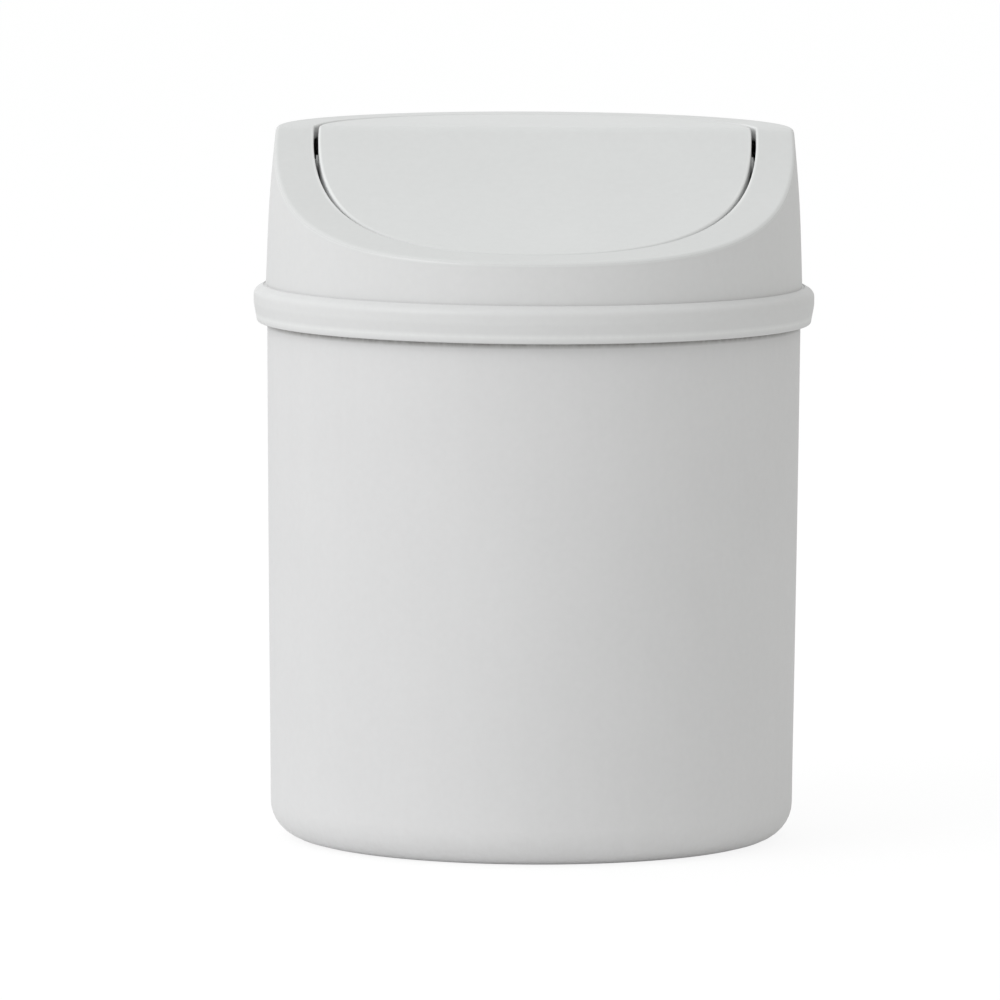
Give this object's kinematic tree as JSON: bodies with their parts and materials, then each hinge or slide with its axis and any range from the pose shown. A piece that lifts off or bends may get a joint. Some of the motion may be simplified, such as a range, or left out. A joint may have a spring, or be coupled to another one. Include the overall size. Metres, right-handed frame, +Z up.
{
  "type": "desktop trash can",
  "caption": "Small round desktop bin with a lift-off lid, whose scooped top carries a round push flap that falls shut by its own weight.",
  "frame": {"origin": "centre of the foot ring, on the surface that the bin stands on", "axes": "+Z up along the bin's axis, -Y towards the front, where the lid's top is scooped, +X to the right seen from the front"},
  "size_m": [0.13, 0.13, 0.165],
  "materials": {
    "light_grey_plastic": "satin, fine moulded grain"
  },
  "bodies": {
    "bin": {"bin_body": "light_grey_plastic"},
    "lid": {"lid_frame": "light_grey_plastic"},
    "flap": {"swing_flap": "light_grey_plastic"}
  },
  "joints": [
    {"name": "lid_lift", "type": "slide", "parent": "bin", "child": "lid", "axis": [0, 0, 1], "range_m": [0, 0.05]},
    {"name": "flap_swing", "type": "hinge", "parent": "lid", "child": "flap", "pos_m": [0, -0.003, 0.156], "axis": [1, 0, 0], "range_deg": [0, 70]}
  ]
}
